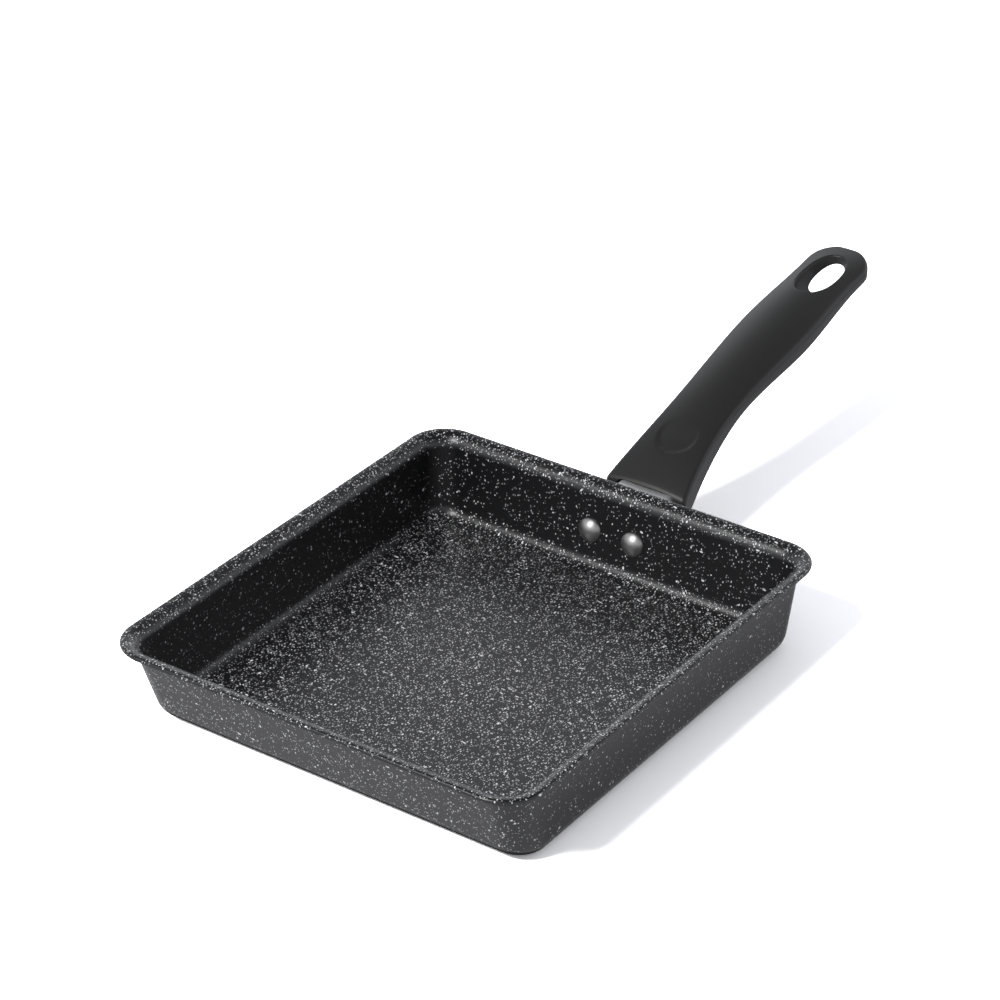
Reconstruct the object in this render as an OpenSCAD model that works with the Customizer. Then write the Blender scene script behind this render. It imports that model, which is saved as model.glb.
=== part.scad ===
// Square rolled-omelette pan: a pressed aluminium pan with a turned-out rim,
// a steel bracket riveted to its rear wall and a moulded handle screwed to the bracket.
// Millimetres, +Z up, origin on the table under the middle of the base, +X towards the handle.

/* [Pan] */
// Overall width across the rim
pan_w = 180; // [168:1:196]
// Overall length of the rim, front to handle side
pan_l = 202; // [190:1:214]
// Height from the table to the top of the rim
pan_h = 36; // [34:0.5:40]
// Thickness of the pressed sheet with its coating
wall_t = 2.2; // [1.8:0.1:2.5]
// Draft of the two side walls, degrees from upright
side_draft = 3.25; // [2:0.25:5]
// Draft of the front wall, the one the omelette is rolled out over
front_draft = 18.6; // [16:0.2:22]
// Draft of the wall that carries the bracket
rear_draft = 7.5; // [6:0.5:10]
// Outside radius where the walls turn into the base
base_fillet = 7.5; // [6:0.25:9]
// Radius of the bend under the turned-out rim
rim_bend = 3.5; // [3:0.25:4.5]
// Flat left at the edge of the rim after the bend
rim_flat = 1.3; // [1.3:0.1:2]
// Corner radius of the rim seen from above
rim_corner = 16; // [14:1:20]

/* [Rivets] */
// Distance between the two rivets
rivet_pitch = 19.5; // [18:0.5:21]
// Height of the rivets on the rear wall
rivet_z = 16.5; // [16:0.25:18]
// Diameter of the domed heads inside the pan
rivet_head_d = 10; // [9:0.5:11]
// Height of the domed heads
rivet_head_h = 2.9; // [2.2:0.1:3.4]
// Diameter of the rivet shanks
rivet_shank_d = 5; // [4:0.5:5.5]

/* [Bracket] */
// Thickness of the bracket's steel
steel_t = 1.5; // [1.2:0.1:1.8]
// Width of the flange against the wall
flange_w = 38; // [36:1:42]
// Height of the flange along the wall
flange_h = 15; // [14:0.5:16]
// Height of the top of the channel between the pan and the handle
neck_z = 27.2; // [27:0.1:28]
// Width of the channel that carries the handle
neck_w = 25.6; // [24:0.2:26.4]
// Depth of the channel
neck_h = 9; // [8:0.25:9.5]
// Upward angle of the channel inside the handle
tang_rise = 27; // [25:0.5:28]

/* [Handle] */
// Length of the handle, root to tip
handle_l = 155; // [150:1:170]
// Width at the root
root_w = 37; // [36:0.5:38]
// Width at the waist
waist_w = 27; // [25:0.5:29]
// Width of the grip
grip_w = 30.5; // [28.5:0.5:33]
// Crown of the top face along the grip
grip_crown = 4.5; // [3.5:0.25:5.5]
// Length of the hanging hole
hole_l = 30.5; // [26:0.5:32]
// Width of the hanging hole
hole_w = 15.2; // [13:0.2:16.4]

/* [Screw] */
// Diameter of the handle screw
screw_d = 5; // [4:0.5:5.5]
// Diameter of its head
screw_head_d = 8.6; // [8.4:0.1:9]

/* [Hidden] */
$fn = 64;
fit = 0.06;
slide = 0.2;
corner_n = 9;

// Rim, wall and base as one section, measured inwards from the edge of the rim
bend_z = pan_h - wall_t - rim_bend;
turn_o = -rim_flat - rim_bend * cos(side_draft);
turn_z = bend_z + rim_bend * sin(side_draft);
foot_z = base_fillet * (1 - sin(side_draft));
foot_o = turn_o - (turn_z - foot_z) * tan(side_draft);
heel_o = foot_o - base_fillet * cos(side_draft);
edge_r = wall_t / 2;

// An arc of the section: centre, radius, from one angle to another in n steps
function arc(co, cz, r, a0, a1, n) =
    [for (i = [0:n]) let (a = a0 + (a1 - a0) * i / n) [co + r * cos(a), cz + r * sin(a)]];

section = concat(
    arc(heel_o, base_fillet, base_fillet, -90, -side_draft, 8),
    arc(-rim_flat, bend_z, rim_bend, 180 - side_draft, 90, 6),
    arc(-edge_r, pan_h - edge_r, edge_r, -90, 90, 6),
    arc(-rim_flat, bend_z, rim_bend + wall_t, 90, 180 - side_draft, 8),
    arc(heel_o, base_fillet, base_fillet - wall_t, -side_draft, -90, 8)
);

// Extra lean of the front and rear walls, and how much their corners have opened at the base
front_lean = tan(front_draft) - tan(side_draft);
rear_lean = tan(rear_draft) - tan(side_draft);
front_open = 2.6;
rear_open = 4.8;

// One level of the pan: a rounded oblong at section point p
function level(p) =
    let (o = p[0], z = p[1], d = max(pan_h - edge_r - z, 0),
         opened = pow(d / pan_h, 2),
         xf = -(pan_l / 2 + o) + front_lean * d,
         xr = pan_l / 2 + o - rear_lean * d,
         yb = pan_w / 2 + o,
         rf = max(rim_corner + o + front_open * opened, 2),
         rr = max(rim_corner + o + rear_open * opened, 2))
    [for (c = [[xr - rr, yb - rr, rr, 0], [xf + rf, yb - rf, rf, 90],
               [xf + rf, -yb + rf, rf, 180], [xr - rr, -yb + rr, rr, 270]])
        for (i = [0:corner_n])
            let (a = c[3] + 90 * i / corner_n)
            [c[0] + c[2] * cos(a), c[1] + c[2] * sin(a), z]];

// Skin of triangles over rows of n points each, closed by a face at either end
function skin(rows, n) = concat(
    [[for (i = [0:n - 1]) i]],
    [for (r = [0:rows - 2]) for (i = [0:n - 1])
        let (j = (i + 1) % n) [r * n + i, (r + 1) * n + j, r * n + j]],
    [for (r = [0:rows - 2]) for (i = [0:n - 1])
        let (j = (i + 1) % n) [r * n + i, (r + 1) * n + i, (r + 1) * n + j]],
    [[for (i = [n - 1:-1:0]) (rows - 1) * n + i]]
);

// The rear wall: outer face at height z, and its true thickness
function rear_x(z) =
    pan_l / 2 + turn_o - (turn_z - z) * tan(side_draft) - rear_lean * (pan_h - edge_r - z);
rear_t = wall_t / cos(side_draft) * cos(rear_draft);

// Frame on the outer face of the rear wall: +Z out of the wall, +X down it
module on_rear_wall() {
    translate([rear_x(rivet_z), 0, rivet_z])
        rotate([0, 90 + rear_draft, 0])
            children();
}

module pan_body() {
    color("dimgray")
        difference() {
            polyhedron(
                points = [for (p = section) each level(p)],
                faces = skin(len(section), 4 * (corner_n + 1)),
                convexity = 6
            );
            on_rear_wall()
                for (s = [-1, 1])
                    translate([0, s * rivet_pitch / 2, -4 * wall_t])
                        cylinder(h = 6 * wall_t, d = rivet_shank_d + 2 * fit);
        }
}

// A rivet: dome inside the pan, shank through wall and flange, tail formed outside
tail_d = 7.6;
tail_h = 1.6;
head_r = (pow(rivet_head_d / 2, 2) + pow(rivet_head_h - 0.4, 2)) / (2 * (rivet_head_h - 0.4));

module rivet(s) {
    on_rear_wall()
        translate([0, s * rivet_pitch / 2, 0]) {
            translate([0, 0, -rear_t])
                cylinder(h = rear_t + steel_t + 0.1, d = rivet_shank_d);
            translate([0, 0, -rear_t - 0.4])
                cylinder(h = 0.4, d = rivet_head_d);
            intersection() {
                translate([0, 0, -rear_t - rivet_head_h + head_r])
                    sphere(r = head_r);
                translate([0, 0, -rear_t - rivet_head_h - 1])
                    cylinder(h = rivet_head_h + 0.6, d = rivet_head_d + 2);
            }
            translate([0, 0, steel_t])
                cylinder(h = tail_h - 0.6, d = tail_d);
            translate([0, 0, steel_t + tail_h - 0.6])
                cylinder(h = 0.6, d1 = tail_d, d2 = tail_d - 2);
        }
}

module rivet_left() {
    color("silver")
        rivet(1);
}

module rivet_right() {
    color("silver")
        rivet(-1);
}

// Bracket: a flange on the wall, turned out into a channel that rises into the handle
turn_in = 1.3;
turn_r = turn_in + steel_t;
turn_cz = neck_z - turn_r;
turn_cx = rear_x(rivet_z) + (turn_r + sin(rear_draft) * (turn_cz - rivet_z)) / cos(rear_draft);
turn_x = -(turn_cx - rear_x(rivet_z)) * sin(rear_draft) - (turn_cz - rivet_z) * cos(rear_draft);
channel_r = 3;
rise_r = 8;
rise_x = pan_l / 2 + 13.5;
cheek_x = turn_cx + 4;
tang_l = 20;

// Outline seen along the channel, its top on the axis: half width, corner radius, underside
function arch(w, r, top, bottom) =
    concat([[w, bottom]], arc(w - r, top - r, r, 0, 90, 5), arc(-w + r, top - r, r, 90, 180, 5),
           [[-w, bottom]]);

// Path of the channel's top face: level from x, round the bend, then l along the rise
function channel_path(x, l) =
    let (x1 = rise_x + rise_r * sin(tang_rise), z1 = neck_z + rise_r * (1 - cos(tang_rise)))
    concat(
        [[x, neck_z, 0]],
        [for (i = [0:6]) let (a = tang_rise * i / 6)
            [rise_x + rise_r * sin(a), neck_z + rise_r * (1 - cos(a)), a]],
        [[x1 + l * cos(tang_rise), z1 + l * sin(tang_rise), tang_rise]]
    );

module along(path, outline) {
    polyhedron(
        points = [for (p = path) for (q = outline)
            [p[0] - q[1] * sin(p[2]), q[0], p[1] + q[1] * cos(p[2])]],
        faces = skin(len(path), len(outline)),
        convexity = 4
    );
}

// The channel from x to l along the rise; g grows the sheet all round
module channel(x, l, g) {
    difference() {
        along(channel_path(x, l), arch(neck_w / 2 + g, channel_r + g, g, -neck_h - g));
        along(channel_path(x - 1, l + 1),
              arch(neck_w / 2 - steel_t - g, channel_r - steel_t - g, -steel_t - g, -neck_h - 1));
    }
}

// Frame at the start of the run inside the handle: +X along it, +Z out of its top face
module on_tang() {
    translate([rise_x + rise_r * sin(tang_rise), 0, neck_z + rise_r * (1 - cos(tang_rise))])
        rotate([0, -tang_rise, 0])
            children();
}

// Side view of the sheet: up the wall, round the turn, out to where the cheeks begin
function on_wall(x, z) =
    [rear_x(rivet_z) - x * sin(rear_draft) + z * cos(rear_draft),
     rivet_z - x * cos(rear_draft) - z * sin(rear_draft)];
sheet_side = concat(
    [on_wall(turn_x + flange_h, 0)],
    arc(turn_cx, turn_cz, turn_r, 180 - rear_draft, 90, 10),
    [[cheek_x + 1, neck_z], [cheek_x + 1, neck_z - steel_t]],
    arc(turn_cx, turn_cz, turn_in, 90, 180 - rear_draft, 10),
    [on_wall(turn_x + flange_h, steel_t)]
);

module bracket() {
    color("lightsteelblue")
        difference() {
            union() {
                intersection() {
                    rotate([90, 0, 0])
                        linear_extrude(flange_w + 2, center = true)
                            polygon(sheet_side);
                    union() {
                        translate([turn_cx - 20, -neck_w / 2, 0])
                            cube([60, neck_w, pan_h]);
                        on_rear_wall()
                            translate([0, 0, -1])
                                linear_extrude(steel_t + 2)
                                    flange();
                    }
                }
                channel(cheek_x, tang_l, 0);
            }
            on_rear_wall()
                for (s = [-1, 1])
                    translate([0, s * rivet_pitch / 2, -1])
                        cylinder(h = steel_t + 2, d = rivet_shank_d + 2 * fit);
        }
}

// Outline of the flange: rounded corners, its top edge just below the turn
module flange() {
    r = 5;
    top = turn_x + 0.6;
    h = flange_h - 0.6;
    translate([top + r, -flange_w / 2])
        square([h - 2 * r, flange_w]);
    translate([top, -flange_w / 2 + r])
        square([h, flange_w - 2 * r]);
    for (s = [-1, 1], x = [top + r, top + h - r])
        translate([x, s * (flange_w / 2 - r)])
            circle(r = r);
}

// Handle: its top edge climbs fast from the root, then settles to a steady rise
root_x = pan_l / 2 + 14;
root_z = neck_z - 0.2;
steady = 0.165;
lift = 16.2;
reach = 33;
waist_u = handle_l * 0.3;
slim_u = handle_l * 0.37;
grip_u = handle_l * 0.63;
fall_l = handle_l * 0.28;
fall_u = handle_l - fall_l;
tip_w = grip_w - 3;
tip_u = 12;
tip_crown = 0.9;
root_crown = 1.6;
root_side = 12;
slim_side = 4.5;
grip_side = 7;
tip_side = 5.5;
belly_h = 5;
hollow_h = 3.5;
lip_l = 8;
lip_r = 1.5;
edge_in = 1.8;
half_n = 14;

function ease(a, b, t) =
    let (k = min(max(t, 0), 1)) a + (b - a) * k * k * (3 - 2 * k);
function edge_z(u) = root_z + steady * u + lift * (1 - exp(-u / reach));
function nominal_w(u) =
    u < waist_u ? waist_w + (root_w - waist_w) * pow(1 - u / waist_u, 2)
    : u < grip_u ? ease(waist_w, grip_w, (u - waist_u) / (grip_u - waist_u))
    : ease(grip_w, tip_w, (u - grip_u) / (fall_l - 3));
function crown(u) =
    let (c = ease(root_crown, grip_crown, u / fall_u))
    u < fall_u ? c : c + (tip_crown - c) * pow((u - fall_u) / fall_l, 2);
function side(u) =
    u < slim_u ? ease(root_side, slim_side, u / slim_u)
    : u < grip_u ? ease(slim_side, grip_side, (u - slim_u) / (grip_u - slim_u))
    : ease(grip_side, tip_side, (u - grip_u) / (fall_l - 3));
function belly(u) = u < slim_u ? belly_h : ease(belly_h, 0, (u - slim_u) / (fall_u - slim_u));
function hollow(u) =
    hollow_h * ease(0, 1, (u - grip_u) / (fall_u - grip_u)) * ease(0, 1, (handle_l - u) / lip_l);

// How far the end rounding has drawn the surface in at distance d from an end, radius r
function draw_in(d, r) = d >= r ? 0 : r - sqrt(max(r * r - pow(r - d, 2), 0));

function tip_part(u) =
    u < handle_l - tip_u ? 1 : sqrt(max(1 - pow((u - handle_l + tip_u) / tip_u, 2), 0.0001));

// One cross-section of the handle: over the crowned top, then back along the underside
function slice(u) =
    let (n = nominal_w(u) / 2,
         w = n * tip_part(u) - draw_in(u, lip_r),
         e = min(edge_in, w),
         end = draw_in(min(u, handle_l - u), lip_r))
    [for (i = [0:half_n])
        let (y = w * cos(180 * i / half_n))
        [root_x + u, y,
         edge_z(u) + crown(u) * (1 - pow(y / n, 2)) - end - draw_in(w - abs(y), e)],
     for (i = [0:half_n])
        let (y = -w * cos(180 * i / half_n))
        [root_x + u, y,
         edge_z(u) - side(u) + end - belly(u) * sqrt(max(1 - pow(abs(y) / w, 2.5), 0))
            + hollow(u) * (1 - pow(y / w, 2))]];

stations = concat(
    [0, 0.4, lip_r],
    [for (i = [1:23]) lip_r + (handle_l - tip_u - lip_r) * i / 24],
    [for (a = [0:8:80]) handle_l - tip_u + tip_u * sin(a)],
    [handle_l - 0.06]
);

// Hanging hole: an upright oval that narrows like a funnel towards the tip's underside
hole_u = handle_l - 9 - hole_l / 2;
hole_tilt = atan(steady);
hole_top = edge_z(hole_u) + crown(hole_u);
hole_n = 40;

function bow(v) = sign(v) * pow(abs(v), 0.91);
function oval(x, l, w, z) =
    [for (i = [0:hole_n - 1])
        let (a = 360 * (i + 0.5) / hole_n)
        [x + l / 2 * bow(cos(a)), w / 2 * bow(sin(a)), z]];

module hanging_hole() {
    translate([root_x + hole_u, 0, hole_top])
        rotate([0, -hole_tilt, 0])
            polyhedron(
                points = concat(
                    oval(4.3, hole_l - 9, hole_w - 5, -22),
                    oval(4.3, hole_l - 9, hole_w - 5, -6.2),
                    oval(0, hole_l, hole_w, -3.1),
                    oval(0, hole_l, hole_w, 6)
                ),
                faces = skin(4, hole_n),
                convexity = 4
            );
}

// Recess round the channel where it enters the root
module mouth() {
    w = neck_w / 2 + 0.9;
    translate([root_x - 2, 0, neck_z])
        rotate([90, 0, 90])
            linear_extrude(4.2)
                polygon(arch(w, 3.5, 0.9, -neck_h - 0.9));
}

// The screw stands square to the run inside the handle, halfway along it
screw_at = 10;
seat_h = 11;
head_h = 2;
washer_t = 0.8;
nut_w = 9;
nut_t = 3.6;

module on_screw() {
    on_tang()
        translate([screw_at, 0, 0])
            children();
}

module handle() {
    color("#202020")
        difference() {
            polyhedron(
                points = [for (u = stations) each slice(u)],
                faces = skin(len(stations), 2 * (half_n + 1)),
                convexity = 8
            );
            channel(root_x - 2, tang_l + slide, slide);
            mouth();
            on_tang() {
                translate([-6, -nut_w / 2 - slide, -steel_t - nut_t - slide])
                    cube([screw_at + nut_w / 2 + slide + 6, nut_w + 2 * slide, nut_t + slide + 0.5]);
            }
            on_screw() {
                translate([0, 0, -seat_h - 20])
                    cylinder(h = 20, d = screw_head_d + 0.8);
                translate([0, 0, -seat_h - 1])
                    cylinder(h = seat_h, d = screw_d + 0.4);
            }
            hanging_hole();
        }
}

module tang_nut() {
    color("gray")
        on_screw()
            translate([0, 0, -steel_t - nut_t])
                difference() {
                    translate([-nut_w / 2, -nut_w / 2, 0])
                        cube([nut_w, nut_w, nut_t]);
                    translate([0, 0, -1])
                        cylinder(h = nut_t + 2, d = screw_d + 2 * fit);
                }
}

module handle_screw() {
    color("silver")
        on_screw()
            difference() {
                union() {
                    translate([0, 0, -seat_h - washer_t])
                        cylinder(h = seat_h + washer_t - steel_t - 0.4, d = screw_d);
                    translate([0, 0, -seat_h - washer_t - head_h])
                        cylinder(h = head_h, d = screw_head_d);
                }
                for (a = [0, 90])
                    rotate(a)
                        translate([-screw_head_d * 0.3, -0.5, -seat_h - washer_t - head_h - 1])
                            cube([screw_head_d * 0.6, 1, 2]);
            }
}

module spring_washer() {
    color("gainsboro")
        on_screw()
            translate([0, 0, -seat_h - washer_t])
                difference() {
                    cylinder(h = washer_t, d = screw_head_d - 0.2);
                    translate([0, 0, -1])
                        cylinder(h = washer_t + 2, d = screw_d + 0.4);
                    translate([0, -0.4, -1])
                        cube([screw_head_d, 0.8, washer_t + 2]);
                }
}

pan_body();
rivet_left();
rivet_right();
bracket();
handle();
handle_screw();
spring_washer();
tang_nut();
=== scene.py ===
# %% [markdown]
# # Rolled-omelette pan
#
# A square pressed pan with a stone-look coating, two rivets, a steel bracket and a moulded
# handle. The exact solids are loaded as a fixed frame, and each of them is rebuilt or
# softened here as a finer, rounder mesh in the same place and to the same sizes. The frame
# is in metres, so lengths are written in millimetres times `MM`. X runs from the pan to the
# handle's tip, Y to the left of someone who looks that way, and Z up.

# %% Load the frame
import math

import bmesh
import bpy
from mathutils import Matrix, Vector


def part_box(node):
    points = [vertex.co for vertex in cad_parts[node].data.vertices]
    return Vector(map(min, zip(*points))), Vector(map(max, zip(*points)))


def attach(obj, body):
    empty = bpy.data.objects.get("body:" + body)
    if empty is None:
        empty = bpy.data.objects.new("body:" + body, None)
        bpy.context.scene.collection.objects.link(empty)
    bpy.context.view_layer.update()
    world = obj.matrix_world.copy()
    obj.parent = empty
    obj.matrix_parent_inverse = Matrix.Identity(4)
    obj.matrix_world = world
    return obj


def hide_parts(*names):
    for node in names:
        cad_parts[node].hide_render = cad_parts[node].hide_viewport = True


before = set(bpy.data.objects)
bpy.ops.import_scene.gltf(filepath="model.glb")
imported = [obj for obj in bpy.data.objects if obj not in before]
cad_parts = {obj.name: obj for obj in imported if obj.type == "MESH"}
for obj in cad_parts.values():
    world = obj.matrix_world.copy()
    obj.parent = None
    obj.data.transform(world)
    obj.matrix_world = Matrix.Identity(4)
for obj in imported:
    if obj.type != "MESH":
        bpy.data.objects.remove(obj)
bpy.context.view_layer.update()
MM = 0.001
print("solids:", sorted(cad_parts))

# %% [markdown]
# A pattern on a surface is a small formula over nodes. Its Math nodes could be added and
# wired one by one, but then ten nodes hide in thirty lines, so here the formula is written
# as an expression. `Value` wraps one output of a node and turns `+ - * / **` into Math
# nodes. `Paint` owns a material, makes any other node in one call and links what varies
# over the surface to the shader.

# %% Expressions for shaders
class Value:
    def __init__(self, tree, socket):
        self.tree = tree
        self.socket = socket

    def math(self, operation, first, second=0.0):
        node = self.tree.nodes.new("ShaderNodeMath")
        node.operation = operation
        for slot, item in zip(node.inputs, (first, second)):
            feed(self.tree, slot, item)
        return Value(self.tree, node.outputs[0])

    def __add__(self, other):
        return self.math("ADD", self, other)

    def __sub__(self, other):
        return self.math("SUBTRACT", self, other)

    def __rsub__(self, other):
        return self.math("SUBTRACT", other, self)

    def __mul__(self, other):
        return self.math("MULTIPLY", self, other)

    def __truediv__(self, other):
        return self.math("DIVIDE", self, other)

    def __pow__(self, other):
        return self.math("POWER", self, other)

    def most(self, other):
        return self.math("MAXIMUM", self, other)

    __radd__ = __add__
    __rmul__ = __mul__


def feed(tree, slot, item):
    if isinstance(item, Value):
        tree.links.new(item.socket, slot)
    elif item is not None:
        slot.default_value = item


class Paint:
    def __init__(self, name, color, metallic, roughness):
        self.material = bpy.data.materials.new(name)
        self.material.use_nodes = True
        self.tree = self.material.node_tree
        self.shader = self.tree.nodes["Principled BSDF"]
        self.shader.inputs["Base Color"].default_value = (*color, 1)
        self.shader.inputs["Metallic"].default_value = metallic
        self.shader.inputs["Roughness"].default_value = roughness
        self.place = self.node("ShaderNodeTexCoord", {}, {}, "Object")

    def also(self, value, output):
        return Value(self.tree, value.socket.node.outputs[output])

    def node(self, kind, settings, inputs, output=0):
        made = self.tree.nodes.new(kind)
        for key, setting in settings.items():
            setattr(made, key, setting)
        for key, item in inputs.items():
            feed(self.tree, made.inputs[key], item)
        return Value(self.tree, made.outputs[output])

    def ramp(self, value, low, high, start=0.0, end=1.0):
        settings = {"interpolation_type": "SMOOTHSTEP"}
        inputs = {"Value": value, "From Min": low, "From Max": high}
        inputs |= {"To Min": start, "To Max": end}
        return self.node("ShaderNodeMapRange", settings, inputs)

    def noise(self, grain, detail=2.0):
        inputs = {"Vector": self.place, "Scale": 1 / grain, "Detail": detail}
        return self.node("ShaderNodeTexNoise", {}, inputs)

    def blend(self, share, first, second):
        settings = {"data_type": "RGBA"}
        inputs = {0: share, 6: first, 7: second}
        return self.node("ShaderNodeMix", settings, inputs, 2)

    def bump(self, height, depth):
        inputs = {"Height": height, "Distance": depth, "Strength": 1.0}
        self.use("Normal", self.node("ShaderNodeBump", {}, inputs))

    def use(self, socket, value):
        feed(self.tree, self.shader.inputs[socket], value)


# %% [markdown]
# The coating is near-black with pale flecks of all sizes, like granite. A picture of flecks
# would show seams and blur close up, and plain noise gives soft clouds, so each layer of flecks
# is a Voronoi pattern: a share of its cells holds a fleck, the cell's own random colour sets
# the fleck's size, and stretched coordinates make some of them splinters. Noise bends the
# coordinates first, which makes the flecks ragged. The spray falls thick on the floor, the rim
# and the roundings and thin on the upright walls. Faces that look down, the underside and the
# lowest part of the outer base rounding, take a second shader, mixed in by the slope: a matt
# coat with almost no shine and no flecks. It is partly a plain matt underside and partly
# painted shade, a dark band along the base rounding that stands in for the contact shadow
# where the pan meets the table. A fine grain in the normal breaks the sheen up.

# %% Flecked coating
def flecks(paint, cell, radius, share, stretch, turn):
    ragged = 0.6
    evenness = 0.6
    soft_edge = (-0.02, 0.03)
    inputs = {"Vector": paint.place, "Scale": ragged / cell, "Detail": 1.0}
    warp = paint.node("ShaderNodeTexNoise", {}, inputs, "Color")
    inputs = {"Vector": warp, "Scale": cell * ragged}
    warp = paint.node("ShaderNodeVectorMath", {"operation": "SCALE"}, inputs)
    bent = paint.node("ShaderNodeVectorMath", {"operation": "ADD"}, {0: paint.place, 1: warp})
    inputs = {"Vector": bent, "Rotation": turn, "Scale": stretch}
    bent = paint.node("ShaderNodeMapping", {}, inputs)
    cells = paint.node("ShaderNodeTexVoronoi", {}, {"Vector": bent, "Scale": 1 / cell})
    chance = paint.node("ShaderNodeSeparateColor", {}, {"Color": paint.also(cells, "Color")})
    size = (1 - chance / share).most(0.0) ** evenness * (radius / cell)
    return paint.ramp(size - cells, *soft_edge)


def coating():
    dark = (0.0035, 0.0036, 0.0043)
    fleck = (0.86, 0.86, 0.87)
    matt_and_shade_color = (0.018, 0.018, 0.019)
    paint = Paint("coating", dark, 0.0, 0.4)
    normal = paint.node("ShaderNodeNewGeometry", {}, {}, "Normal")
    upward = paint.node("ShaderNodeSeparateXYZ", {}, {"Vector": normal}, "Z")
    # painted shade: faces that look down swap the flecked gloss for the matt shader, which darkens
    # the base rounding like a contact shadow as well as coating the underside
    gloss_outside_shade = paint.ramp(upward, -0.58, -0.4)
    sprayed = paint.ramp(upward.math("ABSOLUTE", upward), 0.0, 1.0, 0.24, 1.0)
    dust = flecks(paint, 0.7 * MM, 0.33 * MM, sprayed * 0.58, (1, 1, 1), (0.4, 0.2, 0))
    grit = flecks(paint, 1.15 * MM, 0.42 * MM, sprayed * 0.52, (1, 1.6, 1), (0, 0.6, 0.5))
    chips = flecks(paint, 2.8 * MM, 0.6 * MM, sprayed * 0.36, (0.8, 1.5, 1), (0.3, 0, 2.1))
    splinters = flecks(paint, 3.6 * MM, 0.8 * MM, sprayed * 0.26, (2.4, 0.9, 1.6), (0.2, 0.3, 0.9))
    pale = (dust * 0.42).most(grit * 0.9).most(chips).most(splinters * 0.95)
    paint.use("Base Color", paint.blend(pale, (*dark, 1), (*fleck, 1)))
    paint.use("Roughness", 0.27 + paint.noise(0.5 * MM) * 0.14)
    paint.bump(paint.noise(0.45 * MM, 1.0) + pale * 0.5, 0.04 * MM)
    # the matt shader: a plain matt underside, and painted contact shade on the base rounding
    inputs = {"Base Color": (*matt_and_shade_color, 1), "Roughness": 0.9, "Specular IOR Level": 0.1}
    matt_underside_and_shade = paint.node("ShaderNodeBsdfPrincipled", {}, inputs)
    gloss = Value(paint.tree, paint.shader.outputs[0])
    layers = paint.node("ShaderNodeMixShader", {}, {0: gloss_outside_shade, 1: matt_underside_and_shade, 2: gloss})
    feed(paint.tree, paint.tree.nodes["Material Output"].inputs["Surface"], layers)
    return paint.material


coat = coating()
print("coating:", len(coat.node_tree.nodes), "nodes")

# %% [markdown]
# The metals differ in how bright and how even they are: satin rivet heads, bright stamped
# strip, duller plated screw. Metal shows mostly what it reflects, so each has one colour,
# and a fine noise varies its roughness instead, which breaks the reflection up as rolled
# and plated surfaces do. The handle is a moulded black plastic: the same noise in its
# roughness and a very shallow grain in its normal give it a satin skin.

# %% Metals and plastic
def metal(name, color, roughness, grain):
    paint = Paint(name, color, 1.0, roughness)
    paint.use("Roughness", roughness + paint.noise(grain) * 0.1)
    return paint.material


rivet_metal = metal("rivet_metal", (0.34, 0.335, 0.33), 0.38, 0.4 * MM)
bracket_steel = metal("bracket_steel", (0.85, 0.85, 0.86), 0.52, 0.8 * MM)
plated_steel = metal("plated_steel", (0.6, 0.6, 0.61), 0.28, 0.6 * MM)

plastic_paint = Paint("handle_plastic", (0.018, 0.018, 0.018), 0.0, 0.36)
plastic_paint.shader.inputs["Specular IOR Level"].default_value = 0.36
plastic_paint.use("Roughness", 0.41 + plastic_paint.noise(0.7 * MM) * 0.08)
plastic_paint.bump(plastic_paint.noise(0.35 * MM, 1.0), 0.012 * MM)
handle_plastic = plastic_paint.material
for finish in (rivet_metal, bracket_steel, plated_steel, handle_plastic):
    print(finish.name + ":", len(finish.node_tree.nodes), "nodes")

# %% [markdown]
# Every piece ends the same way: its mesh goes into an object at the origin, takes a material,
# rides on the one body and stands for the solid that it replaces.
# The object itself is never moved or turned, because the patterns follow its coordinates:
# its place is in its mesh, as a solid's is.

# %% Finishing a piece
def piece(name, mesh, material, slot, *nodes):
    made = bpy.data.objects.new(name, mesh)
    bpy.context.scene.collection.objects.link(made)
    mesh.materials.append(material)
    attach(made, "root")
    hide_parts(*nodes)
    return made


def to_mesh(bm, name, sharp=180):
    mesh = bpy.data.meshes.new(name)
    bm.to_mesh(mesh)
    bm.free()
    mesh.shade_smooth()
    mesh.set_sharp_from_angle(angle=math.radians(sharp))
    print(name, len(mesh.polygons), "faces")
    return mesh


# %% [markdown]
# Three of the forms below are one closed outline that changes as it travels: round the
# section of the pan's sheet, along the handle, down the hanging hole. A curve with a bevel
# carries one fixed outline, and these change at every stop, so `sweep` starts with a
# circle, extrudes its edges once per stop and asks `place` where each vertex belongs. Every
# vertex knows its number in the outline from a layer that the extrude copies.

# %% Sweeping an outline
def sweep(bm, around, stops, place):
    number = bm.verts.layers.int.get("number") or bm.verts.layers.int.new("number")
    ring = bmesh.ops.create_circle(bm, cap_ends=True, segments=around, radius=1)["verts"]
    edges = list({edge for vert in ring for edge in vert.link_edges})
    for vert in ring:
        vert[number] = round(math.atan2(vert.co.y, vert.co.x) / math.tau * around) % around
        vert.co = place(stops[0], vert[number])
    for stop in stops[1:]:
        pushed = bmesh.ops.extrude_edge_only(bm, edges=edges)["geom"]
        edges = [item for item in pushed if isinstance(item, bmesh.types.BMEdge)]
        for item in pushed:
            if isinstance(item, bmesh.types.BMVert):
                item.co = place(stop, item[number])
    bmesh.ops.edgeloop_fill(bm, edges=edges)


def arc(center, radius, start, end, steps):
    for step in range(steps + 1):
        angle = math.radians(start + (end - start) * step / steps)
        yield center[0] + radius * math.cos(angle), center[1] + radius * math.sin(angle)


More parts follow.
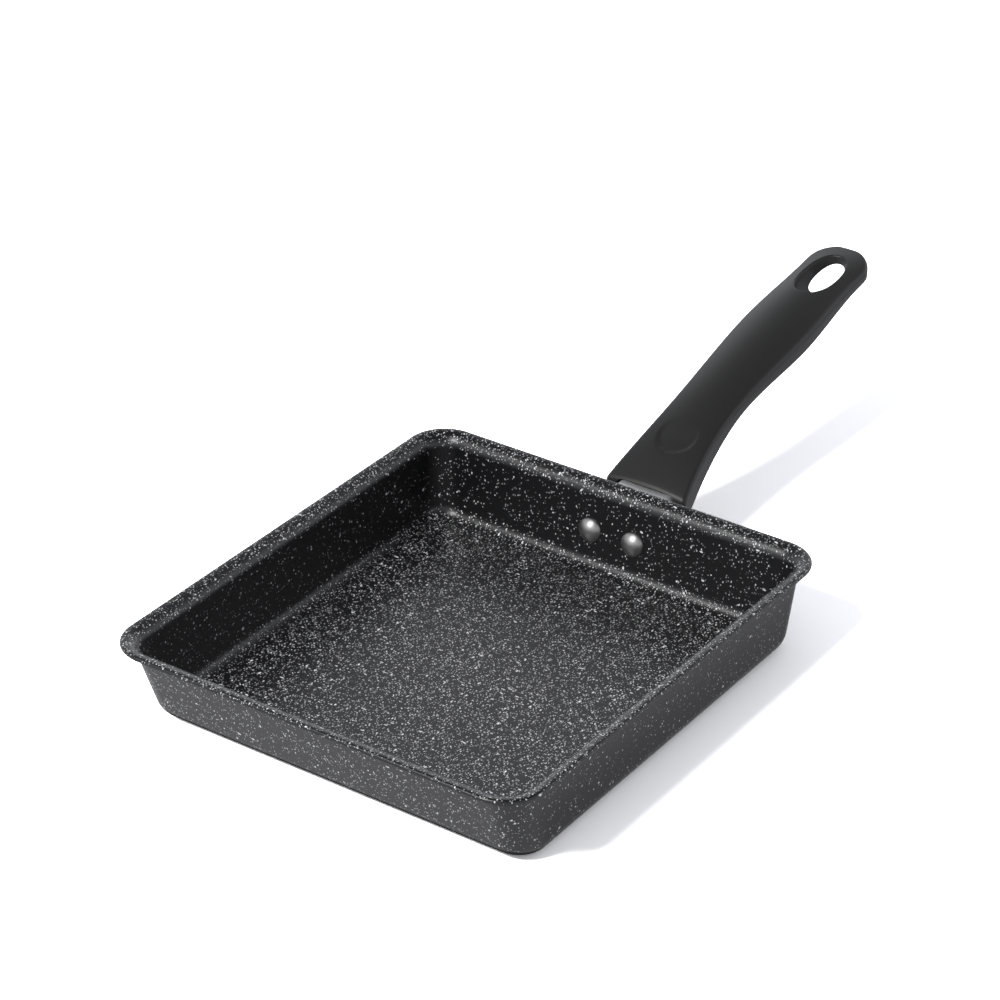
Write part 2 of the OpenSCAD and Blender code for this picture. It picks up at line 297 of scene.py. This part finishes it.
# %% [markdown]
# The pan is pressed from one sheet, so its section is the sheet's: bottom, outer wall, the
# bend under the rim, the rim's rounded edge, then back down inside to the floor. A thin
# surface with a Solidify modifier would be quicker, but its rim would end in a square cut,
# so the section is drawn as arcs, as the solid's is. It is written as pairs: how far in from
# the rim's edge, as a negative number, and how high.

# %% Pan: section of the sheet
low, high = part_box("pan_body")
rim_length = high.x - low.x
rim_width = high.y - low.y
rim_top = high.z
sheet = 2.2 * MM
edge_radius = sheet / 2
rim_corner = 16 * MM
rim_flat = 1.3 * MM
rim_bend = 3.5 * MM
base_fillet = 7.5 * MM
side_draft = 3.25

lean = math.tan(math.radians(side_draft))
bend = (-rim_flat, rim_top - sheet - rim_bend)
turn_in = rim_flat + rim_bend * math.cos(math.radians(side_draft))
turn_height = bend[1] + rim_bend * math.sin(math.radians(side_draft))
foot_height = base_fillet * (1 - math.sin(math.radians(side_draft)))
foot_in = turn_in + (turn_height - foot_height) * lean
heel = (-foot_in - base_fillet * math.cos(math.radians(side_draft)), base_fillet)

floor_edge = heel[0] - 1 * MM
section = [(floor_edge, 0)]
section += arc(heel, base_fillet, -90, -side_draft, 12)
section += arc(bend, rim_bend, 180 - side_draft, 90, 10)
section += arc((-edge_radius, rim_top - edge_radius), edge_radius, -90, 90, 12)
section += arc(bend, rim_bend + sheet, 90, 180 - side_draft, 14)
section += arc(heel, base_fillet - sheet, -side_draft, -90, 10)
section += [(floor_edge, sheet)]
print("rim", round(rim_length / MM, 1), "x", round(rim_width / MM, 1), "mm")
print("section", len(section), "stops")

# %% [markdown]
# Each stop of the section is one level of the pan, an oblong with rounded corners. The two
# long walls keep the section's own small draft, the front wall leans far out, so that an
# omelette rolls out over it, the rear one leans less, and the corners open a little towards
# the base. A box with tilted sides would do for the walls alone, but rim, walls and floor
# have to flow into each other, so each level is placed as a whole.

# %% Pan: the shell
rear_draft = math.radians(7.5)
front_lean = math.tan(math.radians(18.6)) - lean
rear_lean = math.tan(rear_draft) - lean
front_open = 2.6 * MM
rear_open = 4.8 * MM
tightest = 2 * MM
corner_steps = 24


def level_point(stop, number):
    inset, height = stop
    drop = max(rim_top - edge_radius - height, 0)
    corner, step = divmod(number, corner_steps + 1)
    at_rear = corner in (0, 3)
    at_left = corner in (0, 1)
    radius = rim_corner + inset + (rear_open if at_rear else front_open) * (drop / rim_top) ** 2
    radius = max(radius, tightest)
    end = rim_length / 2 + inset - (rear_lean if at_rear else front_lean) * drop - radius
    side = rim_width / 2 + inset - radius
    angle = math.radians(90 * (corner + step / corner_steps))
    x = (end if at_rear else -end) + radius * math.cos(angle)
    y = (side if at_left else -side) + radius * math.sin(angle)
    return Vector((x, y, height))


shell = bmesh.new()
sweep(shell, 4 * (corner_steps + 1), section, level_point)
bmesh.ops.recalc_face_normals(shell, faces=shell.faces)
piece("pan", to_mesh(shell, "pan"), coat, "coating", "pan_body")

# %% [markdown]
# Two rivets hold the bracket to the rear wall. A rivet is round everywhere, so half of its
# outline is drawn in a plane and spun round its axis, as on a lathe, which also gives the
# low dome that a cut sphere would need trimming for. The dome sits inside the pan, the
# shank passes the wall and the bracket, and the tail is set outside. The rear wall leans,
# so the finished rivet is turned to stand square to it.

# %% Rivets
wall_normal = Matrix.Rotation(math.radians(90) + rear_draft, 4, "Y")
rivet_pitch = 19.5 * MM
rivet_height = 16.5 * MM
head_radius = 5 * MM
head_rise = 2.9 * MM
head_brim = 0.4 * MM
shank_radius = 2.5 * MM
tail_radius = 3.8 * MM
tail_edge = 1.0 * MM
tail_rise = 1.6 * MM
tail_slope = 1 * MM
steel = 1.5 * MM
wall = sheet / math.cos(math.radians(side_draft)) * math.cos(rear_draft)
rear_wall_x = rim_length / 2 - turn_in - (turn_height - rivet_height) * lean
rear_wall_x -= rear_lean * (rim_top - edge_radius - rivet_height)


def dome(steps):
    rise = head_rise - head_brim
    ball = (head_radius**2 + rise**2) / (2 * rise)
    spread = math.asin(head_radius / ball)
    for step in range(steps + 1):
        angle = spread * step / steps
        yield ball * math.sin(angle), -wall - head_rise + ball * (1 - math.cos(angle))


def rivet(name, side):
    bm = bmesh.new()
    outline = list(dome(12))
    outline += [(head_radius, -wall), (shank_radius, -wall), (shank_radius, steel)]
    outline += [(tail_radius, steel), (tail_radius, steel + tail_edge)]
    outline += [(tail_radius - tail_slope, steel + tail_rise), (0, steel + tail_rise)]
    verts = [bm.verts.new((radius, 0, height)) for radius, height in outline]
    edges = [bm.edges.new(pair) for pair in zip(verts, verts[1:])]
    bmesh.ops.spin(
        bm,
        geom=verts + edges,
        cent=(0, 0, 0),
        axis=(0, 0, 1),
        angle=math.tau,
        steps=48,
        use_merge=True,
    )
    bmesh.ops.remove_doubles(bm, verts=bm.verts, dist=0.001 * MM)
    bmesh.ops.recalc_face_normals(bm, faces=bm.faces)
    spot = Vector((rear_wall_x, side * rivet_pitch / 2, rivet_height))
    bmesh.ops.transform(bm, matrix=Matrix.Translation(spot) @ wall_normal, verts=bm.verts)
    return piece(name + "_turned", to_mesh(bm, name, 40), rivet_metal, "rivet", name)


for name, side in (("rivet_left", 1), ("rivet_right", -1)):
    rivet(name, side)

# %% [markdown]
# The bracket and the small fasteners are exact already. What a solid lacks is the soft edge
# of stamped and turned metal, which catches a thin line of light. Its mesh is loose
# triangles, and a bevel would split at each of them, so a copy is merged first, its flat
# faces are joined, and only then does each edge get a narrow bevel.

# %% Bracket, screw, washer and nut
def softened(node, width, material, slot):
    bm = bmesh.new()
    bm.from_mesh(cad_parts[node].data)
    bmesh.ops.remove_doubles(bm, verts=bm.verts, dist=0.002 * MM)
    bmesh.ops.dissolve_limit(
        bm,
        angle_limit=math.radians(1),
        use_dissolve_boundaries=False,
        verts=bm.verts,
        edges=bm.edges,
    )
    made = piece(node + "_soft", to_mesh(bm, node, 40), material, slot, node)
    edge = made.modifiers.new("edges", "BEVEL")
    edge.width = width
    edge.segments = 2
    edge.limit_method = "ANGLE"
    edge.angle_limit = math.radians(40)
    edge.use_clamp_overlap = True
    made.modifiers.new("flats", "WEIGHTED_NORMAL").keep_sharp = True
    return made


softened("bracket", 0.3 * MM, bracket_steel, "bracket")
softened("handle_screw", 0.25 * MM, plated_steel, "fastener")
softened("spring_washer", 0.1 * MM, plated_steel, "fastener")
softened("tang_nut", 0.3 * MM, plated_steel, "fastener")

# %% [markdown]
# The handle is one flowing moulding: a wide flat root, a narrow waist, a crowned grip and a
# thin tip. A box under a Subdivision Surface would flow as well, but its widths would only
# come near the real ones. Here one cross-section is swept along the handle, and at each
# stop, `u` from the root, the ring takes the height, width, crown and depth of that place.

# %% Handle: where it lies
low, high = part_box("handle")
root_x = low.x
length = high.x - low.x


def ease(a, b, t):
    t = min(max(t, 0), 1)
    return a + (b - a) * t * t * (3 - 2 * t)


def rounded(distance, radius):
    if distance >= radius:
        return 0
    return radius - math.sqrt(max(radius**2 - (radius - distance) ** 2, 0))


print("handle", round(length / MM, 1), "mm long")

# %% [markdown]
# Seen from the side, the edge between top and side leaves the pan steeply, bends over within
# a few centimetres and then climbs evenly. A straight line plus a term that dies away says
# that in one formula, without a curve's control points to balance.

# %% Handle: its line from the side
root_z = 27 * MM
steady = 0.165
lift = 16.2 * MM
reach = 33 * MM


def edge_height(u):
    return root_z + steady * u + lift * (1 - math.exp(-u / reach))


print("edge", [round(edge_height(u) / MM, 1) for u in (0, length)], "mm high at root and tip")

# %% [markdown]
# Seen from above, the handle narrows fast from its root to the waist, swells to the grip and
# draws in a little towards the tip. Each stretch is a short curve that starts where the last
# one ended.

# %% Handle: its width
waist_at = length * 0.3
grip_at = length * 0.63
fall = length * 0.28
fall_at = length - fall
taper = fall - 3 * MM
root_w = 37 * MM
waist_w = 27 * MM
grip_w = 30.5 * MM
tip_w = grip_w - 3 * MM


def half_width(u):
    if u < waist_at:
        wide = waist_w + (root_w - waist_w) * (1 - u / waist_at) ** 2
    elif u < grip_at:
        wide = ease(waist_w, grip_w, (u - waist_at) / (grip_at - waist_at))
    else:
        wide = ease(grip_w, tip_w, (u - grip_at) / taper)
    return wide / 2


places = (0, waist_at, grip_at, length)
print("widths", [round(2 * half_width(u) / MM, 1) for u in places], "mm")

# %% [markdown]
# Across, the top is crowned, nearly flat at the root and fullest behind the grip. The sides
# are deep at the root and slim just past the waist. Underneath, a rounded belly fades out
# along the grip, and a hollow opens under the tip. Each of these is a function of `u` of its
# own, so that one can be changed without the others.

# %% Handle: its crown and depth
slim_at = length * 0.37
crown_root = 1.6 * MM
crown_grip = 4.5 * MM
crown_tip = 0.9 * MM
depth_root = 12 * MM
depth_slim = 4.5 * MM
depth_grip = 7 * MM
depth_tip = 5.5 * MM
belly_drop = 5 * MM
hollow_rise = 3.5 * MM
hollow_end = 8 * MM


def crown(u):
    full = ease(crown_root, crown_grip, u / fall_at)
    if u < fall_at:
        return full
    return full + (crown_tip - full) * ((u - fall_at) / fall) ** 2


def side_depth(u):
    if u < slim_at:
        return ease(depth_root, depth_slim, u / slim_at)
    if u < grip_at:
        return ease(depth_slim, depth_grip, (u - slim_at) / (grip_at - slim_at))
    return ease(depth_grip, depth_tip, (u - grip_at) / taper)


def belly(u):
    return ease(belly_drop, 0, (u - slim_at) / (fall_at - slim_at))


def hollow(u):
    begins = ease(0, 1, (u - grip_at) / (fall_at - grip_at))
    ends = ease(0, 1, (length - u) / hollow_end)
    return hollow_rise * begins * ends


print("side depths", [round(side_depth(u) / MM, 1) for u in places], "mm")

# %% [markdown]
# A shallow thumb rest is pressed into the top near the root: its edge shows on the side of
# the root and fades out towards the grip. It could be cut with a boolean, but a dip this
# slight leaves ragged slivers there, so the top's own height takes it in. The upper half of
# a ring follows the top and the lower half the underside, and both turn down or up into the
# sides with a small radius.

# %% Handle: top and underside
thumb_at = 23.5 * MM
thumb_radius = 8.6 * MM
thumb_depth = 0.8 * MM
thumb_edge = 1.3 * MM
thumb_fade = 11 * MM
thumb_lead = 3 * MM
tip_round = 12 * MM
lip = 1.5 * MM
top_edge = 1.8 * MM
under_edge = 1.6 * MM
belly_full = 2.5
narrowest = 0.05 * MM
steps_round = 128


def thumb_rest(u, y):
    far = math.hypot(u - thumb_at, y)
    pressed = ease(0, 1, (thumb_radius - far) / thumb_edge)
    return thumb_depth * pressed * ease(1, 0, (u - thumb_at + thumb_lead) / thumb_fade)


def top_height(u, y):
    return edge_height(u) + crown(u) * (1 - (y / half_width(u)) ** 2)


def ring_point(u, number):
    turn = math.tau * number / steps_round
    wide = half_width(u)
    if u > length - tip_round:
        wide *= math.sqrt(max(1 - ((u - length + tip_round) / tip_round) ** 2, 0))
    wide = max(wide - rounded(u, lip), narrowest)
    end = rounded(min(u, length - u), lip)
    y = wide * math.cos(turn)
    inset = wide - abs(y)
    if turn <= math.pi:
        z = top_height(u, y) - thumb_rest(u, y) - end - rounded(inset, min(top_edge, wide))
    else:
        bulge = belly(u) * math.sqrt(max(1 - (abs(y) / wide) ** belly_full, 0))
        z = edge_height(u) - side_depth(u) + end - bulge + hollow(u) * (1 - (y / wide) ** 2)
        z += rounded(inset, min(under_edge, wide))
    return Vector((root_x + u, y, z))


print("thumb rest", round(thumb_depth / MM, 1), "mm deep")

# %% [markdown]
# The stops lie close together where the form turns fast, at the root's rounded edge and
# round the tip, and evenly between. At the tip they follow the sine of an angle, which
# spaces them evenly round the curve rather than along the handle.

# %% Handle: the body
stops = [0.0, 0.15 * MM, 0.5 * MM, 1.0 * MM]
stops += [lip + (length - tip_round - lip) * step / 110 for step in range(110)]
stops += [length - tip_round + tip_round * math.sin(math.radians(a)) for a in range(0, 88, 4)]
stops += [length - 0.02 * MM]

body = bmesh.new()
sweep(body, steps_round, stops, ring_point)
bmesh.ops.recalc_face_normals(body, faces=body.faces)
print("handle body", len(stops), "stops,", len(body.faces), "faces")

# %% [markdown]
# The hanging hole, the well of the screw and the mouth round the bracket are cut away by
# closed cutters, because bridging the body's own faces round them would disturb its smooth
# flow. The hole's cutter is a stack of ovals: the topmost ones follow the crowned surface
# and open outwards, which leaves a rounded lip, and the lower ones narrow like a funnel
# towards the tip.

# %% Handle: the cutter of the hanging hole
hole_l = 30.5 * MM
hole_w = 15.2 * MM
hole_at = length - 9 * MM - hole_l / 2
hole_lip = 0.9 * MM
widest = 1.8 * hole_lip
above = 4 * MM
narrow_l = hole_l - 9 * MM
narrow_w = hole_w - 5 * MM
narrow_shift = 4.3 * MM
straight_down = 3.4 * MM
narrow_down = 6.2 * MM
through = 20 * MM
squareness = 0.91
oval_steps = 96
tilt = math.sin(math.atan(steady))


def oval_point(ring, number):
    shift, long, wide, height = ring
    c = math.cos(math.tau * number / oval_steps)
    s = math.sin(math.tau * number / oval_steps)
    u = hole_at + shift + long / 2 * math.copysign(abs(c) ** squareness, c)
    y = wide / 2 * math.copysign(abs(s) ** squareness, s)
    return Vector((root_x + u, y, height(u, y)))


def on_surface(depth):
    return lambda u, y: top_height(u, y) - depth


def on_plane(depth):
    top = top_height(hole_at, 0) - depth
    return lambda u, y: top + steady * (u - hole_at)


rings = [(0, hole_l + widest, hole_w + widest, on_surface(-above))]
for angle in range(15, 91, 15):
    opening = 2 * hole_lip * (1 - math.sin(math.radians(angle)))
    depth = hole_lip * (1 - math.cos(math.radians(angle)))
    rings.append((0, hole_l + opening, hole_w + opening, on_surface(depth)))
rings.append((straight_down * tilt, hole_l, hole_w, on_plane(straight_down)))
for down in (narrow_down, through):
    rings.append((narrow_shift + down * tilt, narrow_l, narrow_w, on_plane(down)))
cutters = bmesh.new()
sweep(cutters, oval_steps, rings, oval_point)
print("hanging hole", round(hole_l / MM, 1), "x", round(hole_w / MM, 1), "mm")

# %% [markdown]
# Inside the handle the bracket rises at an angle, and the screw comes up from below square
# to it, so the screw's well is a cylinder turned by that angle. The mouth is a block with
# two rounded upper edges, a little wider and higher than the bracket's neck, so that the
# plastic stands clear of the steel.

# %% Handle: the cutters of the well and the mouth
neck_z = 27.2 * MM
neck_w = 25.6 * MM
rise = math.radians(27)
rise_x = root_x - 0.5 * MM
rise_bend = 8 * MM
well_radius = 4.7 * MM
well_depth = 20 * MM
seat_depth = 11 * MM
screw_at = 10 * MM
mouth_clear = 0.9 * MM
mouth_depth = 2.2 * MM
mouth_height = 12 * MM
mouth_round = 3.5 * MM

run_start = Matrix.Translation(
    (rise_x + rise_bend * math.sin(rise), 0, neck_z + rise_bend * (1 - math.cos(rise)))
) @ Matrix.Rotation(-rise, 4, "Y")
well = run_start @ Matrix.Translation((screw_at, 0, -seat_depth - well_depth / 2))
bmesh.ops.create_cone(
    cutters,
    cap_ends=True,
    segments=48,
    radius1=well_radius,
    radius2=well_radius,
    depth=well_depth,
    matrix=well,
)
middle = Matrix.Translation((root_x, 0, neck_z + mouth_clear - mouth_height / 2))
size = (2 * mouth_depth, 2 * (neck_w / 2 + mouth_clear), mouth_height, 1)
gap = middle @ Matrix.Diagonal(size)
block = bmesh.ops.create_cube(cutters, size=1, matrix=gap)["verts"]
upper = [
    edge
    for edge in cutters.edges
    if all(vert in block and vert.co.z > neck_z for vert in edge.verts)
    and edge.verts[0].co.y == edge.verts[1].co.y
]
bmesh.ops.bevel(
    cutters,
    geom=upper,
    offset=mouth_round,
    affect="EDGES",
    segments=8,
    profile=0.5,
    material=-1,
)
bmesh.ops.recalc_face_normals(cutters, faces=cutters.faces)
print("well", round(2 * well_radius / MM, 1), "mm across, mouth rounded at", len(upper), "edges")

# %% [markdown]
# One exact boolean takes all three cutters away at once. It is applied here rather than left
# as a modifier, so that the cutters and the uncut body can be removed and nothing but the
# finished moulding is in the scene. Edges sharper than 40 degrees stay crisp.

# %% Handle: cut and finish
body_object = bpy.data.objects.new("handle_body", to_mesh(body, "handle_body"))
cutter_object = bpy.data.objects.new("handle_cutters", to_mesh(cutters, "handle_cutters"))
for made in (body_object, cutter_object):
    bpy.context.scene.collection.objects.link(made)
cut = body_object.modifiers.new("cut", "BOOLEAN")
cut.operation = "DIFFERENCE"
cut.solver = "EXACT"
cut.object = cutter_object
bpy.context.view_layer.update()
result = body_object.evaluated_get(bpy.context.evaluated_depsgraph_get())
handle_mesh = bpy.data.meshes.new_from_object(result)
for made in (body_object, cutter_object):
    bpy.data.objects.remove(made)
handle_mesh.name = "handle_moulding"
handle_mesh.shade_smooth()
handle_mesh.set_sharp_from_angle(angle=math.radians(40))
piece("handle_moulding", handle_mesh, handle_plastic, "handle", "handle")
print("handle cut:", len(handle_mesh.polygons), "faces")

# %% [markdown]
# The set is a white table in a white room. Light strong enough to turn a table white would
# wash the dark pan out, so the camera sees the table in a colour of its own: one so bright
# that only a real shadow falls below white, with a faint glow that keeps the shadow pale.
# Light that bounces to the pan, and the pan's reflections, see a duller white instead. The
# reflections also see a glow of their own that no lamp gives: painted reflection, which keeps
# the table's shadow bright where the pan's walls mirror it.

# %% Table
table_paint = Paint("white_table", (0.86, 0.86, 0.865), 0.0, 0.9)
table_paint.shader.inputs["Specular IOR Level"].default_value = 0.0
camera_ray = table_paint.node("ShaderNodeLightPath", {}, {}, "Is Camera Ray")
glossy_ray = table_paint.also(camera_ray, "Is Glossy Ray")
plain = (0.8, 0.8, 0.8, 1)
mirrored = (0.65, 0.65, 0.66, 1)
seen = (3.27, 3.27, 3.3, 1)
white = table_paint.blend(glossy_ray, plain, mirrored)
white = table_paint.blend(camera_ray, white, seen)
table_paint.use("Base Color", white)
no_glow = (0, 0, 0, 1)
# painted reflection: a glow that only glossy rays see, lifting the shadowed table in the pan's
# walls
mirrored_glow = (0.27, 0.27, 0.28, 1)
seen_glow = (0.1, 0.1, 0.1, 1)
glow = table_paint.blend(glossy_ray, no_glow, mirrored_glow)
glow = table_paint.blend(camera_ray, glow, seen_glow)
table_paint.use("Emission Color", glow)
table_paint.shader.inputs["Emission Strength"].default_value = 1.0
table_half = 6
table_drop = 0.1 * MM
bm = bmesh.new()
bmesh.ops.create_grid(bm, x_segments=1, y_segments=1, size=table_half)
bmesh.ops.translate(bm, vec=(0, 0, -table_drop), verts=bm.verts)
table = bpy.data.objects.new("table", to_mesh(bm, "table"))
table.data.materials.append(table_paint.material)
bpy.context.scene.collection.objects.link(table)

# %% [markdown]
# The room could be four walls and a ceiling, but a world background does the same with
# nothing to stand in the light. Diffuse light comes from it evenly all round. What shines
# reflects the room as it was: bright near the horizon, where the white backdrop stands, a
# little brighter behind the handle than in front of the pan, and dim overhead. To the
# camera it is plain white.

# %% Room
world = bpy.data.worlds.new("room")
bpy.context.scene.world = world
world.use_nodes = True
room = world.node_tree
background = room.nodes["Background"]
background.inputs["Color"].default_value = (0.95, 0.96, 1, 1)
rays = room.nodes.new("ShaderNodeLightPath")
camera_ray = Value(room, rays.outputs["Is Camera Ray"])
glossy_ray = Value(room, rays.outputs["Is Glossy Ray"])
direction = room.nodes.new("ShaderNodeTexCoord")
split = room.nodes.new("ShaderNodeSeparateXYZ")
room.links.new(direction.outputs["Generated"], split.inputs[0])
height = Value(room, split.outputs["Z"])
ahead = Value(room, split.outputs["X"])
fill = 0.31
overhead = 0.14
horizon = 1.3
dim_above = 0.76
band = 0.38
more_ahead = 0.2
fall_off = (dim_above - height).most(0.0) / band
reflected = overhead + fall_off.math("MINIMUM", fall_off, 1.0) * (horizon - overhead)
reflected = reflected * (1 + ahead * more_ahead)
strength = fill + glossy_ray * (reflected - fill)
strength = strength + camera_ray * (1 - strength)
room.links.new(strength.socket, background.inputs["Strength"])
print("room:", fill, "for diffuse light,", overhead, "to", horizon, "in reflections")

# %% [markdown]
# One lamp at the upper left draws the shadow. How soft a shadow's edge is depends on the
# lamp's size over its distance, and an area lamp takes both as plain measures: a disc half a
# metre across, two metres away.

# %% Lamp
def softbox(name, toward, distance, size, power):
    lamp = bpy.data.lights.new(name, "AREA")
    lamp.shape = "DISK"
    lamp.size = size
    lamp.energy = power
    made = bpy.data.objects.new(name, lamp)
    made.location = Vector(toward).normalized() * distance
    made.rotation_euler = Vector(toward).to_track_quat("Z", "Y").to_euler()
    bpy.context.scene.collection.objects.link(made)


lamp_turn = math.radians(163)
lamp_rise = math.radians(47.5)
toward_lamp = (
    math.cos(lamp_turn) * math.cos(lamp_rise),
    math.sin(lamp_turn) * math.cos(lamp_rise),
    math.sin(lamp_rise),
)
softbox("key", toward_lamp, distance=2.0, size=0.5, power=34)
print("lamp toward", [round(part, 3) for part in toward_lamp])

# %% [markdown]
# The camera's place was worked out from the pan's own outline: a long lens, 1.2 metres away
# and 30 degrees up. It could track an empty, but its own turn, rise and distance say more
# plainly where it stands, and two small shifts aim it past the pan, so that the handle is in
# frame.

# %% Camera
view_turn = math.radians(215.04)
view_rise = math.radians(30.09)
view_distance = 1.24508
aim_height = 0.023
aim_left = 10.01 * MM
aim_up = 46.73 * MM
focal_pixels = 3414.61
frame_pixels = 1000
sensor = 36

back = Vector(
    (
        math.cos(view_turn) * math.cos(view_rise),
        math.sin(view_turn) * math.cos(view_rise),
        math.sin(view_rise),
    )
)
right = Vector((0, 0, 1)).cross(back).normalized()
up = back.cross(right)
camera = bpy.data.objects.new("camera", bpy.data.cameras.new("camera"))
camera.data.lens = focal_pixels * sensor / frame_pixels
camera.data.sensor_width = sensor
camera.data.clip_end = 50
eye = Vector((0, 0, aim_height)) + aim_left * right + aim_up * up + view_distance * back
camera.matrix_world = Matrix.Translation(eye) @ Matrix((right, up, back)).transposed().to_4x4()
bpy.context.scene.collection.objects.link(camera)
bpy.context.scene.camera = camera
bpy.context.scene.view_settings.view_transform = "Standard"
print("camera at", [round(part, 3) for part in eye], "m,", round(camera.data.lens, 1), "mm lens")
